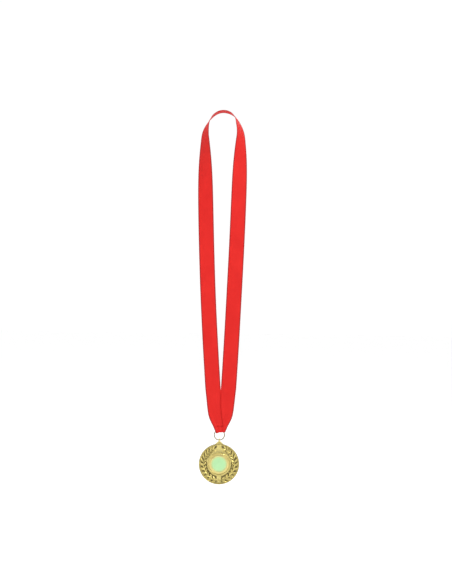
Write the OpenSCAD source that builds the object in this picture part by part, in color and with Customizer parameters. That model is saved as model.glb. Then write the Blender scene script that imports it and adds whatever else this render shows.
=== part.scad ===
// Award medal on a neck ribbon.
// A cast disc with a laurel wreath and a round centre emblem hangs by its eye from
// a split jump ring. The ring runs in a gathered fold at the ribbon's sewn end.
// Millimetres, +Z up, the front faces -Y. The origin lies under the top of the
// ribbon's loop, where a peg or a neck carries it.

/* [Ribbon] */
// Width of the woven ribbon
ribbon_w = 19; // [15:1:22]
// Thickness of the ribbon as a solid
ribbon_t = 0.6; // [0.4:0.1:0.8]
// Half the width of the loop where it is widest, at the ribbon's middle
loop_half = 21.6; // [18:0.2:26]
// Height of the round arch at the top of the loop
arch_h = 32; // [28:1:50]
// Drop from the loop's top to where the two straps meet
meet_drop = 343; // [300:1:358]
// Distance over which the ribbon turns from flat over the peg to facing the front
twist_len = 70; // [50:5:90]

/* [Gathered fold] */
// Drop from the loop's top to the fold's hinge line
hinge_drop = 363; // [360:1:368]
// Drop from the loop's top to the bottom of the fold
fold_drop = 397; // [395:1:399]
// Half the fold's width at its bottom
fold_half = 5.2; // [4:0.1:6]
// How steeply the fold's sides narrow, in mm of half width per mm of drop
fold_slope = 0.56; // [0.4:0.02:0.7]
// Gap between the straps' ends and the fold, shared by both sides of the hinge
bend_gap = 1.4; // [1.2:0.1:2]
// Thickness of the gathered layers at the bottom of the fold
fold_t = 3.4; // [3:0.1:4]

/* [Seam] */
// Drop to the bar tack that closes the fold above the ring
seam_drop = 390; // [388:0.5:391]
// Length of the bar tack
seam_w = 9; // [6:0.5:10]
// Height of the bar tack
seam_h = 1.2; // [0.8:0.1:1.6]
// How far the thread stands proud of the cloth
seam_proud = 0.25; // [0.1:0.05:0.4]

/* [Jump ring] */
// Mean radius of the jump ring
ring_r = 6.3; // [6:0.1:6.6]
// Radius of its wire
wire_r = 0.55; // [0.45:0.05:0.6]
// Drop from the loop's top to the ring's centre
ring_drop = 400.8; // [400:0.1:401.5]
// Gap between the ring's cut ends
split_gap = 0.2; // [0.1:0.05:0.5]
// Running clearance round the wire in the fold and in the eye
wire_clear = 0.06; // [0.03:0.01:0.1]

/* [Medal] */
// Diameter of the medal
medal_d = 50; // [50:1:52]
// Depth of the plate behind the wreath's ground
plate_t = 2.0; // [1.8:0.1:2.4]
// Height of the rim over the ground
rim_h = 1.0; // [0.8:0.1:1.4]
// Width of the rim
rim_w = 1.3; // [1:0.1:2]
// Place of the flat back, behind the plane of the ring
back_y = 1.3; // [1.2:0.1:1.6]
// Radius of the sunk field on the back
back_field_r = 21; // [18:0.5:22]
// Depth of the sunk field on the back
back_field_depth = 0.25; // [0.1:0.05:0.4]
// Height of the wreath's leaves over the ground
leaf_h = 0.75; // [0.5:0.05:0.9]
// Pairs of leaves on each branch
leaf_pairs = 9; // [7:1:10]

/* [Eye] */
// Radius of the hole in the eye
eye_hole_r = 1.3; // [1.2:0.1:1.5]
// Radius of the eye's round bar
eye_bar_r = 0.75; // [0.6:0.05:0.8]
// Half the width of the gusset where it meets the disc
gusset_half = 5.4; // [4:0.2:6]

/* [Centre emblem] */
// Radius of the recess for the emblem
recess_r = 12.65; // [12.6:0.05:12.8]
// Radius of the emblem's metal plate
emblem_r = 12.5; // [12:0.1:12.5]
// Radius of the coloured field
field_r = 9.4; // [8:0.1:11]

/* [Hidden] */
$fn = 96;

arch_steps = 32;      // sections along the arch
strap_steps = 40;     // sections along a strap
strap_gap = 0.15;     // half the gap between the straps below their meeting
strap_slope = 0.11;   // narrowing of the straps just below their meeting
side_blend = 1.5;     // softness of the turn from that slope to the fold's
twist_power = 1.6;    // how late the twist sets in

arch_end_z = ribbon_t / 2 - arch_h;
meet_x = ribbon_w / 2 + strap_gap;
straps_end_z = -hinge_drop + bend_gap / 2;
fold_top_z = -hinge_drop - bend_gap / 2;
ring_z = -ring_drop;
wire_bottom_z = ring_z - ring_r;
eye_z = wire_bottom_z - (eye_hole_r - wire_r - wire_clear / 2);
medal_r = medal_d / 2;
gusset_top_z = eye_z - eye_hole_r - 0.1;
medal_z = wire_bottom_z - 4.8 - medal_r;   // the disc's centre

// Heights over the ring's plane, towards the front
back_h = -back_y;
ground_h = back_h + plate_t;
rim_top_h = ground_h + rim_h;
lip_h = ground_h + 0.8;
recess_h = ground_h - 0.4;
adhesive_t = 0.25;
emblem_t = 0.6;
well_depth = 0.3;
field_t = 0.35;
adhesive_r = emblem_r - 0.5;
lip_r = 13.8;

// Leaves and branches of the wreath
branch_r = 18.4;
branch_start = 10;    // degrees up from the disc's foot
branch_end = 150;
leaf_len = 6.4;
leaf_w = 2.5;
leaf_lean = 34;       // degrees between a leaf and its branch

red = "firebrick";
gold = "goldenrod";

// ---- Ribbon ----

// Turn of the ribbon at a point: 0 flat over the peg, 90 facing the front
function twist(p) = 90 * (1 - exp(-pow(norm(p) / twist_len, twist_power)));

// The four corners of a section: p its middle, out the direction away from the loop
function section(p, out, w, turn) = let (
    wide = [out[0] * sin(turn), cos(turn), out[2] * sin(turn)] * w / 2,
    thick = [out[0] * cos(turn), -sin(turn), out[2] * cos(turn)] * ribbon_t / 2)
    [p + wide + thick, p - wide + thick, p - wide - thick, p + wide - thick];

// A section of the arch, side from -1 at its left end to 1 at its right end
function arch_section(side) = let (
    a = 90 * side,
    p = [loop_half * sin(a), 0, arch_end_z + arch_h * cos(a)],
    out = [arch_h * sin(a), 0, loop_half * cos(a)])
    section(p, out / norm(out), ribbon_w, twist(p));

// Half the outline's width below the straps' meeting: two slopes with a soft turn
function outline(z) = let (
    upper = ribbon_w + strap_gap + strap_slope * (z + meet_drop),
    lower = fold_half + fold_slope * (z + fold_drop))
    -side_blend * ln(exp(-upper / side_blend) + exp(-lower / side_blend));

// Middle of the right strap above the meeting, easing in from the arch
function strap_x(z) = let (v = (arch_end_z - z) / (arch_end_z + meet_drop))
    loop_half - (loop_half - meet_x) * (0.38 * v + 0.62 * v * v);

// A level section of the right strap at height z
function strap_section(z) = let (
    above = z > -meet_drop,
    edge = outline(z),
    p = [above ? strap_x(z) : (edge + strap_gap) / 2, 0, z])
    section(p, [1, 0, 0], above ? ribbon_w : edge - strap_gap, above ? twist(p) : 90);

// A closed skin over a list of four-cornered sections. The two wide faces are cut
// along parallel diagonals, so a twisted length keeps its thickness.
module loft(sections) {
    n = len(sections);
    points = [for (s = sections) each s];
    sides = [for (i = [0:n - 2], k = [0:3]) let (
        a = 4 * i + k, b = 4 * i + (k + 1) % 4, c = a + 4, d = b + 4)
        each k == 2 ? [[a, c, b], [c, d, b]] : [[a, c, d], [a, d, b]]];
    last = 4 * (n - 1);
    ends = [[0, 1, 2], [0, 2, 3], [last, last + 2, last + 1], [last, last + 3, last + 2]];
    polyhedron(points, concat(sides, ends));
}

// Flat band over the peg, turning at both sides
module ribbon_neck() {
    color(red)
        loft([for (i = [0:arch_steps]) arch_section(2 * i / arch_steps - 1)]);
}

// Right strap, from the arch down to the fold
module strap() {
    loft([for (i = [0:strap_steps])
        strap_section(arch_end_z + (straps_end_z - arch_end_z) * i / strap_steps)]);
}

module ribbon_strap_right() {
    color(red) strap();
}

module ribbon_strap_left() {
    color(red) mirror([1, 0, 0]) strap();
}

// Room for the ring's wire, all the way round
module wire_channel() {
    translate([0, 0, ring_z])
        rotate([90, 0, 0])
            rotate_extrude()
                translate([ring_r, 0]) circle(wire_r + wire_clear);
}

// Front outline of the gathered end, in x and z
module fold_front() {
    steps = 16;
    right = [for (i = [0:steps]) let (z = fold_top_z - (fold_drop + fold_top_z) * i / steps)
        [outline(z), z]];
    left = [for (i = [steps:-1:0]) [-right[i][0], right[i][1]]];
    polygon(concat(right, left));
}

// Side outline of the gathered end, in y and z, with a round foot round the ring
module fold_side() {
    foot = fold_t / 2;
    foot_z = -fold_drop + foot;
    right = [[ribbon_t, fold_top_z], [foot * 0.62, fold_top_z - 12], [foot, foot_z + 5]];
    round_foot = [for (a = [0:15:180]) [foot * cos(a), foot_z - foot * sin(a)]];
    left = [for (i = [len(right) - 1:-1:0]) [-right[i][0], right[i][1]]];
    polygon(concat(right, round_foot, left));
}

// Both ends of the ribbon, gathered, folded over the ring and sewn
module ribbon_fold() {
    color(red)
        difference() {
            intersection() {
                rotate([90, 0, 0])
                    linear_extrude(height = 2 * fold_t, center = true) fold_front();
                rotate([90, 0, 90])
                    linear_extrude(height = 3 * ribbon_w, center = true) fold_side();
            }
            wire_channel();
            seam_core(2 * fold_t);
        }
}

// Thread where it goes through the cloth
module seam_core(depth) {
    translate([0, 0, -seam_drop])
        cube([seam_w - 1, depth, seam_h - 0.4], center = true);
}

// Bar tack: thread through the fold with a bar of stitches on each face
module seam_stitching() {
    color("darkred") {
        seam_core(fold_t);
        for (face = [-1, 1])
            translate([0, face * (fold_t + seam_proud) / 2, -seam_drop])
                cube([seam_w, seam_proud, seam_h], center = true);
    }
}

// ---- Ring ----

// Round wire ring with a butt gap at its upper right, hidden in the fold
module jump_ring() {
    gap_angle = split_gap / ring_r * 180 / PI;
    gap_at = 55;
    color("khaki")
        translate([0, 0, ring_z])
            rotate([90, 0, 0])
                rotate([0, 0, gap_at + gap_angle / 2])
                    rotate_extrude(angle = 360 - gap_angle)
                        translate([ring_r, 0]) circle(wire_r);
}

// ---- Medal ----

// Puts a shape drawn in x and y, rising in z, on the medal: y up and z to the front
module on_medal() {
    translate([0, 0, medal_z]) rotate([90, 0, 0]) children();
}

// One pointed leaf, lying along +X from its foot at the origin
module leaf() {
    arc_r = (leaf_len * leaf_len + leaf_w * leaf_w) / (4 * leaf_w);
    translate([leaf_len / 2, 0, 0])
        intersection_for (side = [-1, 1])
            translate([0, side * (arc_r - leaf_w / 2), ground_h - 0.1])
                cylinder(h = leaf_h + 0.1, r = arc_r);
}

// Left branch of the wreath: a stem, leaf pairs along it and a leaf at its tip
module branch() {
    step = (branch_end - branch_start) / leaf_pairs;
    tip_overlap = 3;   // degrees that the tip leaf lies over the stem's end
    rotate([0, 0, -90 - branch_end])
        rotate_extrude(angle = branch_end - branch_start)
            translate([branch_r - 0.3, ground_h - 0.1]) square([0.6, 0.5]);
    for (i = [0:leaf_pairs - 1], side = [-1, 1])
        rotate([0, 0, -90 - branch_start - step * i])
            translate([branch_r, 0, 0])
                rotate([0, 0, -90 + side * leaf_lean]) leaf();
    rotate([0, 0, -90 - branch_end + tip_overlap])
        translate([branch_r, 0, 0]) rotate([0, 0, -90]) leaf();
}

// Turned blank: sunk field on the back, raised rims, sunk ground, lip and recess
module blank() {
    bevel = 0.3;
    rotate_extrude()
        polygon([[0, back_h + back_field_depth], [back_field_r, back_h + back_field_depth],
                 [back_field_r + back_field_depth, back_h],
                 [medal_r - bevel, back_h], [medal_r, back_h + bevel],
                 [medal_r, rim_top_h - bevel], [medal_r - bevel, rim_top_h],
                 [medal_r - rim_w + bevel, rim_top_h], [medal_r - rim_w, ground_h],
                 [lip_r, ground_h], [lip_r - bevel, lip_h], [recess_r + 0.1, lip_h],
                 [recess_r, recess_h], [0, recess_h]]);
}

// Gusset and round eye across the disc, so that the ring hangs face on
module eye() {
    foot_z = medal_z + sqrt(medal_r * medal_r - gusset_half * gusset_half) - 0.3;
    rotate([90, 0, 0])
        linear_extrude(height = 2 * back_y, center = true)
            polygon([[-gusset_half, foot_z], [gusset_half, foot_z],
                     [0.38 * gusset_half, gusset_top_z], [-0.38 * gusset_half, gusset_top_z]]);
    translate([0, 0, eye_z])
        rotate([0, 90, 0])
            rotate_extrude()
                translate([eye_hole_r + eye_bar_r, 0]) circle(eye_bar_r);
}

module medal_body() {
    color(gold) {
        on_medal() {
            blank();
            branch();
            mirror([1, 0, 0]) branch();
        }
        eye();
    }
}

// Double-sided adhesive under the emblem
module emblem_adhesive() {
    color("white")
        on_medal() translate([0, 0, recess_h]) cylinder(h = adhesive_t, r = adhesive_r);
}

// Gold-coloured plate with a shallow well for the field
module emblem_plate() {
    color(gold)
        on_medal()
            translate([0, 0, recess_h + adhesive_t])
                difference() {
                    cylinder(h = emblem_t, r = emblem_r);
                    translate([0, 0, emblem_t - well_depth])
                        cylinder(h = well_depth + 1, r = field_r);
                }
}

// Blank coloured field, filling the well and a little over
module emblem_field() {
    color("aquamarine")
        on_medal()
            translate([0, 0, recess_h + adhesive_t + emblem_t - well_depth])
                cylinder(h = field_t, r = field_r);
}

ribbon_neck();
ribbon_strap_left();
ribbon_strap_right();
ribbon_fold();
seam_stitching();
jump_ring();
medal_body();
emblem_adhesive();
emblem_plate();
emblem_field();
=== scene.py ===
# %% [markdown]
# # An award medal on its neck ribbon
# A cast and gilded disc with a laurel wreath hangs from a split ring, and the ring runs in the
# gathered end of a red woven ribbon. The CAD model gives every place and size. This script
# puts a finely made piece in the place of each plain CAD solid.

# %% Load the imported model
import math
import random

import bmesh
import bpy
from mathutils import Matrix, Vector


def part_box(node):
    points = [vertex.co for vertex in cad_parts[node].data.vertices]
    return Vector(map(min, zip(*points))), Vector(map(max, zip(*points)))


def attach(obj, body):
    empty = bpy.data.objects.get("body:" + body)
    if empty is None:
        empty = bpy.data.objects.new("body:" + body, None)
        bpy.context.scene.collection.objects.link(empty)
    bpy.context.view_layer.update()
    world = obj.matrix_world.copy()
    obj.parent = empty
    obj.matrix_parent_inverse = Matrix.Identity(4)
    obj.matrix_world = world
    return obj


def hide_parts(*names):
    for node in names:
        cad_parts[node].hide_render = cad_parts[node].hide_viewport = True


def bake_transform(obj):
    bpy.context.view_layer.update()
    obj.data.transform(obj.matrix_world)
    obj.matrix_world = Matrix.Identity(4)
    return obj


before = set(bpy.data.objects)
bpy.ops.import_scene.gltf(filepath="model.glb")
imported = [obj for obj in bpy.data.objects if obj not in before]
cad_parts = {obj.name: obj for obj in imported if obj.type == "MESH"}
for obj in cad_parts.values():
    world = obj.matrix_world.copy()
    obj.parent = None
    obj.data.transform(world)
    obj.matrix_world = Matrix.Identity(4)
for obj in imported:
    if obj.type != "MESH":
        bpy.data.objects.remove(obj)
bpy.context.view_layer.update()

MM = 0.001
print("CAD nodes:", ", ".join(sorted(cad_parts)))

# %% [markdown]
# ## Camera
# The medal is seen square from the front, from a little over a metre away, with the camera
# level with the middle of the straps. So the eye looks up at the underside of the loop's top
# and down on the disc. The camera is turned by a hair, as a hand-held one is.

# %% Camera
EYE_DISTANCE = 1.2
EYE_LEVEL = -0.2235
EYE_ASIDE = 0.0059
ROLL = math.radians(-0.75)
camera_data = bpy.data.cameras.new("camera")
camera_data.sensor_width = 36.0
camera_data.lens = 59.65
camera_data.clip_end = 50.0
camera = bpy.data.objects.new("camera", camera_data)
camera.location = (EYE_ASIDE, -EYE_DISTANCE, EYE_LEVEL)
camera.rotation_euler = (math.radians(90.0), ROLL, 0.0)
bpy.context.scene.collection.objects.link(camera)
bpy.context.scene.camera = camera
print(f"camera {EYE_DISTANCE} m away, lens {camera_data.lens:.1f} mm")

# %% [markdown]
# ## Light and floor
# Polished metal shows what is around it. Under an even white sky a medal looks flat, so the sky
# here is white behind the medal and greyer behind the camera, and two big soft lamps draw
# the highlights. The camera itself sees a white backdrop on every side. Plain colours are
# wanted, so the Standard view is chosen.

# %% Sky
scene = bpy.context.scene
scene.view_settings.view_transform = "Standard"
world = bpy.data.worlds.new("studio")
scene.world = world
world.use_nodes = True
sky = world.node_tree
direction = sky.nodes.new("ShaderNodeTexCoord")
split = sky.nodes.new("ShaderNodeSeparateXYZ")
shade = sky.nodes.new("ShaderNodeMapRange")
shade.inputs["From Min"].default_value = -0.9
shade.inputs["From Max"].default_value = 0.1
shade.inputs["To Min"].default_value = 0.36
shade.inputs["To Max"].default_value = 1.02
sky_ray = sky.nodes.new("ShaderNodeLightPath")
backdrop = sky.nodes.new("ShaderNodeMath")
backdrop.operation = "MAXIMUM"
sky.links.new(direction.outputs["Generated"], split.inputs[0])
sky.links.new(split.outputs["Y"], shade.inputs["Value"])
sky.links.new(shade.outputs["Result"], backdrop.inputs[0])
sky.links.new(sky_ray.outputs["Is Camera Ray"], backdrop.inputs[1])
sky.links.new(backdrop.outputs[0], sky.nodes["Background"].inputs["Color"])
print("sky nodes", len(sky.nodes))

# %% Lamps
def soft_lamp(name, place, aim, size, power):
    """A square soft lamp that looks at a point."""
    data = bpy.data.lights.new(name, "AREA")
    data.shape = "SQUARE"
    data.size = size
    data.energy = power
    lamp = bpy.data.objects.new(name, data)
    lamp.location = place
    lamp.rotation_euler = (Vector(aim) - Vector(place)).to_track_quat("-Z", "Y").to_euler()
    scene.collection.objects.link(lamp)
    return lamp


middle = (0.0, 0.0, -0.23)
soft_lamp("key_lamp", (0.9, -1.2, 0.6), middle, 0.6, 15.0)
soft_lamp("fill_lamp", (-1.1, -1.0, 0.1), middle, 0.8, 4.5)
soft_lamp("back_lamp", (0.3, 1.2, 0.8), middle, 0.9, 6.0)
print("three lamps")

# %% Floor
FLOOR_DROP = 0.62
GLOW = 0.2
bpy.ops.mesh.primitive_plane_add(size=16.0, location=(0.0, 0.0, -FLOOR_DROP))
floor = bpy.context.object
floor.name = "floor"
paint = bpy.data.materials.new("floor_paint")
paint.use_nodes = True
coat = paint.node_tree.nodes["Principled BSDF"]
coat.inputs["Base Color"].default_value = (0.93, 0.93, 0.93, 1)
coat.inputs["Roughness"].default_value = 0.9
coat.inputs["Emission Color"].default_value = (1, 1, 1, 1)
floor_ray = paint.node_tree.nodes.new("ShaderNodeLightPath")
glow = paint.node_tree.nodes.new("ShaderNodeMath")
glow.operation = "MULTIPLY"
glow.inputs[1].default_value = GLOW
paint.node_tree.links.new(floor_ray.outputs["Is Camera Ray"], glow.inputs[0])
paint.node_tree.links.new(glow.outputs[0], coat.inputs["Emission Strength"])
floor.data.materials.append(paint)
print("floor", FLOOR_DROP, "m under the loop's top")

# %% [markdown]
# ## Small helpers
# Each operator works on what is selected. So a new piece starts from an empty selection, and
# its faces, edges and corners are chosen by where they are.

# %% Selecting
def deselect():
    """Leaves object mode with nothing selected."""
    if bpy.context.object and bpy.context.object.mode != "OBJECT":
        bpy.ops.object.mode_set(mode="OBJECT")
    bpy.ops.object.select_all(action="DESELECT")


def only(piece):
    """Selects one piece and makes it the active one."""
    deselect()
    piece.select_set(True)
    bpy.context.view_layer.objects.active = piece


def edit(piece, kind):
    """Opens a piece for editing its VERT, EDGE or FACE parts, with nothing selected."""
    only(piece)
    bpy.ops.object.mode_set(mode="EDIT")
    bpy.ops.mesh.select_mode(type=kind)
    bpy.ops.mesh.select_all(action="DESELECT")


def choose(piece, kind, test):
    """Selects the corners, edges or faces that pass a test, and gives their number."""
    bpy.ops.mesh.select_all(action="DESELECT")
    mesh = bmesh.from_edit_mesh(piece.data)
    parts = {"VERT": mesh.verts, "EDGE": mesh.edges, "FACE": mesh.faces}[kind]
    for part in parts:
        part.select_set(bool(test(part)))
    mesh.select_flush_mode()
    bmesh.update_edit_mesh(piece.data)
    return sum(part.select for part in parts)


def done():
    """Back to object mode."""
    bpy.ops.object.mode_set(mode="OBJECT")


def smooth(piece, angle=35.0):
    """Smooth shading that keeps edges sharper than the angle."""
    only(piece)
    bpy.ops.object.shade_smooth_by_angle(angle=math.radians(angle))


def settle(piece):
    """Puts a piece's turn, size and place into its mesh."""
    only(piece)
    bpy.ops.object.transform_apply(location=True, rotation=True, scale=True)


def weld(pieces, name):
    """Joins pieces into the first one and names it."""
    deselect()
    for piece in pieces:
        piece.select_set(True)
    bpy.context.view_layer.objects.active = pieces[0]
    bpy.ops.object.join()
    pieces[0].name = name
    return pieces[0]


# %% [markdown]
# ## Ribbon: how it hangs
# The ribbon is one flat strip, 19 mm wide. It lies flat over the peg, turns by a quarter on
# each side until it faces the front, and its two straps lean together. Below their meeting they
# are gathered: each strap rolls its inner edge under, and the right one lies on the left one.
# Both then go round the ring, up the back, and end in a straight cut. Each cross row of a
# flat grid is put in place by formula, which is how a strip is hung without stretching it.

# %% The ribbon's measures, in millimetres
neck_low, neck_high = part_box("ribbon_neck")
fold_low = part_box("ribbon_fold")[0]
ring_low, ring_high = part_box("jump_ring")
seam_low, seam_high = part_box("seam_stitching")
WIDTH = (neck_high.y - neck_low.y) / MM
BAND = 0.6                         # thickness of the CAD band, whose middle the strip follows
ARCH_END = neck_low.z / MM
ARCH_TOP = neck_high.z / MM - BAND / 2
LOOP_HALF = {-1: 22.5, 1: 21.8}    # the left half of the loop is a little wider
MEET = -343.0                      # height at which the straps meet
SEAM = (seam_low.z + seam_high.z) / 2 / MM
WIRE_R = (ring_high.y - ring_low.y) / 2 / MM
RING_R = (ring_high.x - ring_low.x) / 2 / MM - WIRE_R
RING_Z = (ring_low.z + ring_high.z) / 2 / MM
FOLD_END = fold_low.z / MM
CLOTH = 0.34                       # thickness of the cloth
PLY = 0.45                         # one ply of cloth with the air under it
print(f"width {WIDTH:.2f}, loop {LOOP_HALF[-1]} and {LOOP_HALF[1]}, seam {SEAM:.1f}")
print(f"ring {RING_R:.2f} at {RING_Z:.1f}, wire {WIRE_R:.2f}")


def ease(value, start, end):
    """0 before start, 1 after end, and a soft step between them."""
    t = min(max((value - start) / (end - start), 0.0), 1.0)
    return t * t * (3 - 2 * t)


def mix(a, b, t):
    """A value between a and b."""
    return a + (b - a) * t


def sway(z):
    """The gathered end hangs a little to the right of the loop's top."""
    return 1.2 * ease(-z, 200, 400)


# %% Rows over the peg and down the straps
TURN_LENGTH = {-1: 68.0, 1: 60.0}           # how far from the top the strip has turned by half
TURN_START = {-1: (8.0, 34.0), 1: (0.0, 25.0)}


def turned_row(x, z, out, side, share):
    """A point on a row that turns from flat at the top to facing the front. The right side turns
    a little sooner than the left one, and the strip cups where it starts to turn."""
    far = math.hypot(x, z)
    late = (far / TURN_LENGTH[side]) ** 1.6 * ease(far, *TURN_START[side])
    turn = math.radians(90 * (1 - math.exp(-late)))
    reach = WIDTH * (0.5 - share)
    start_bow = math.sin(math.pi * min(math.degrees(turn) / 16, 1))
    cup = (0.25 * math.sin(turn) + 0.35 * start_bow) * (1 - (2 * share - 1) ** 2)
    wave = 0.5 * math.sin(z / 23 + side) * ease(-z, 60, 120) * (1 - ease(-z, 270, 340))
    return (side * (x + out[0] * (math.sin(turn) * reach + math.cos(turn) * cup)),
            math.cos(turn) * reach - math.sin(turn) * cup + wave,
            z + out[1] * (math.sin(turn) * reach + math.cos(turn) * cup))


def arch_row(side, angle, share):
    """Over the peg: angle 0 is the loop's top and 90 its side. The right shoulder is fuller."""
    a = math.radians(angle)
    height = ARCH_TOP - ARCH_END
    half = LOOP_HALF[side]
    out = Vector((height * math.sin(a), half * math.cos(a))).normalized()
    x, z = half * math.sin(a), ARCH_END + height * math.cos(a)
    if side > 0:
        x += 1.1 * ease(x, 0, 8) * (1 - ease(-z, 6, 16))
    return turned_row(x, z, out, side, share)


MEET_X = WIDTH / 2 + 0.15                   # middle of a strap where the two meet


def strap_row(side, z, share):
    """Down a strap, which leans in to meet the other one."""
    v = (ARCH_END - z) / (ARCH_END - MEET)
    x = LOOP_HALF[side] - (LOOP_HALF[side] - MEET_X) * (0.38 * v + 0.62 * v * v)
    return turned_row(x, z, (1.0, 0.0), side, share)


print("strap's middle", [round(strap_row(1, z, 0.5)[0], 1) for z in (-50, -150, -250, -340)])


# %% The gathered end's outline and rolled edges
FRONT_SHARE, ROLL_SHARE = 0.55, 0.7         # parts of the columns that the front ply and roll take


def outline(z):
    """Half the width of the gathered end: two slopes with a soft turn between them."""
    upper = WIDTH + 0.15 + 0.11 * (z - MEET)
    lower = 5.2 + 0.56 * (z - FOLD_END)
    return -1.5 * math.log(math.exp(-upper / 1.5) + math.exp(-lower / 1.5))


def drawn(z, start, end):
    """A soft step that runs between two drops below the straps' meeting."""
    return ease(MEET - z, start, end)


def crease(z):
    """How far right of the middle the right strap's rolled edge lies."""
    return 0.4 * drawn(z, 0, 8) + 2.9 * drawn(z, 18, 50)


def roll_radius(z):
    """Radius of the rolled edge, which is pressed tighter towards the seam."""
    return mix(0.36, 0.2, drawn(z, 15, 47))


def rolled(side, z, share, inset=0.0):
    """Across a gathered row: distance from the middle on the strap's own side, and the ply, which
    runs from 0 on the front ply to 1 on the ply rolled under it."""
    edge = outline(z) - inset
    roll = roll_radius(z)
    inner = crease(z) if side > 0 else -crease(z) - 3.0 * drawn(z, 11, 35)
    front = min(WIDTH, edge - inner - roll)
    turn_len = min(math.pi * roll, WIDTH - front)
    rest = WIDTH - front - turn_len
    if share < FRONT_SHARE:
        along = share / FRONT_SHARE * front
    elif share < ROLL_SHARE:
        along = front + (share - FRONT_SHARE) / (ROLL_SHARE - FRONT_SHARE) * turn_len
    else:
        along = front + turn_len + (share - ROLL_SHARE) / (1 - ROLL_SHARE) * rest
    along = mix(share * WIDTH, along, ease(WIDTH - front, 0.0, 4.0))
    if along <= front:
        return edge - along, 0.0, along
    angle = min((along - front) / roll, math.pi)
    room = max(edge - inner - 1.2, 0.5)
    back = max(along - front - math.pi * roll, 0.0) * min(1.0, room / max(rest, 1e-6))
    return edge - front - roll * math.sin(angle) + back, (1 - math.cos(angle)) / 2, along


print("half width at the meeting, the seam and the fold",
      [round(outline(z), 2) for z in (MEET, SEAM, FOLD_END)])


# %% The gathered end's plies
def depth(side, z, across, ply):
    """How far a ply stands in front of the middle plane."""
    roll = roll_radius(z)
    top = 1.55 * drawn(z, 0, 41) + 1.1 * drawn(z, 5, 27) * (1 - drawn(z, 33, 47))
    if side > 0:
        by_the_roll = math.exp(-((across - crease(z) - 0.8) / 1.6) ** 2)
        ridge = 0.35 * by_the_roll * drawn(z, 8, 30) * (1 - drawn(z, 40, 50))
        return top + ridge - 2 * roll * ply * drawn(z, 0, 7)
    under = top - 2 * roll - PLY
    away = ease(across, 0.5 - crease(z), 6.0 - crease(z))
    here = mix(under, top - 0.15, away * (1 - 0.75 * drawn(z, 39, 49))) * drawn(z, 0, 11)
    return here - 2 * roll * ply * drawn(z, 0, 7)


def pleat(z, across, edge):
    """Soft folds that run together towards the ring."""
    return 0.34 * math.cos(3.0 * math.pi * across / edge + 0.7) * drawn(z, 31, 52)


def wire_level(across):
    """Height of the ring's wire over a place across the fold."""
    return RING_Z + math.sqrt(RING_R ** 2 - min(abs(across), 4.5) ** 2)


def gather_row(side, z, share):
    """Front of the gathered end, from the straps' meeting down to the seam."""
    across, ply, along = rolled(side, z, share)
    front = depth(side, z, across, ply) + pleat(z, side * across, outline(z))
    return (side * across, -front, z), along


FOOT = 2.0                                  # height over which the cloth rounds the wire
BACK_INSET = 0.5                            # the back plies are drawn in a little further


def wrap_row(side, step, share):
    """From the seam round the ring and up the back. step 0 is the front of the seam, 1 the front
    of the wire, 2 its back, 3 the back of the seam. The fold's left corner hangs lower."""
    start = FOLD_END + FOOT
    if step <= 1:
        level = mix(SEAM, start, step)
    elif step <= 2:
        level = start - FOOT * math.sin(math.pi * (step - 1))
    else:
        level = mix(start, SEAM, step - 2)
    behind = ease(step, 1.2, 2.4)
    across, ply, along = rolled(side, level, share, inset=BACK_INSET * behind)
    out = depth(side, max(level, SEAM - 6), across, ply) + PLY * ease(min(step, 3 - step), 0.0, 1.0)
    folds = pleat(level, side * across, outline(level))
    wire = wire_level(across)
    if step <= 1:
        return (side * across, -out - folds, mix(SEAM, wire, step)), along
    if step >= 2:
        return (side * across, out, mix(wire, SEAM, step - 2)), along
    angle = math.pi * (step - 1)
    radius = out + folds * (1 - behind)
    left_corner = 1.2 * ease(-side * across, 1.0, 4.2)
    roll_at = -crease(SEAM)
    covered = 1 - ease(across, roll_at - 0.3, roll_at + 1.2) if side < 0 else 0.0
    lowest = FOLD_END - 0.6 - left_corner + PLY * (ply + covered)
    drop = max(wire - lowest, WIRE_R + 0.25)
    return (side * across, -radius * math.cos(angle), wire - drop * math.sin(angle)), along


def tail_row(side, z, share):
    """The cut end, up the back from the seam."""
    across, ply, along = rolled(side, z, share, inset=BACK_INSET)
    return (side * across, depth(side, SEAM, across, ply) + 0.25 * ease(z, SEAM, SEAM + 12), z), along


print("plies at the seam", [round(depth(side, SEAM, 3.0, ply), 2) for side in (1, -1) for ply in (0, 1)])

# %% All the rows, from the left strap's cut end to the right strap's
COLUMNS = 48
ARCH_ROWS, STRAP_ROWS, GATHER_ROWS = 30, 84, 50
FACE_ROWS, ROUND_ROWS, TAIL_ROWS = 6, 14, 12
TAIL_TOP = {-1: SEAM + 14.0, 1: SEAM + 10.0}


def half_rows(side):
    """Rows from the loop's top down one side to the cut end. Each is a list of places, with how
    far across the flat strip each place lies."""
    shares = [i / COLUMNS for i in range(COLUMNS + 1)]
    rows = []
    for i in range(ARCH_ROWS):
        rows.append([(arch_row(side, 90 * i / ARCH_ROWS, s), s * WIDTH) for s in shares])
    for i in range(STRAP_ROWS):
        z = mix(ARCH_END, MEET, i / STRAP_ROWS)
        rows.append([(strap_row(side, z, s), s * WIDTH) for s in shares])
    for i in range(GATHER_ROWS):
        z = mix(MEET, SEAM, i / GATHER_ROWS)
        rows.append([gather_row(side, z, s) for s in shares])
    steps = [i / FACE_ROWS for i in range(FACE_ROWS)]
    steps += [1 + i / ROUND_ROWS for i in range(ROUND_ROWS)]
    steps += [2 + i / FACE_ROWS for i in range(FACE_ROWS)]
    for step in steps:
        rows.append([wrap_row(side, step, s) for s in shares])
    for i in range(TAIL_ROWS + 1):
        z = mix(SEAM, TAIL_TOP[side], i / TAIL_ROWS)
        rows.append([tail_row(side, z, s) for s in shares])
    return rows


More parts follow.
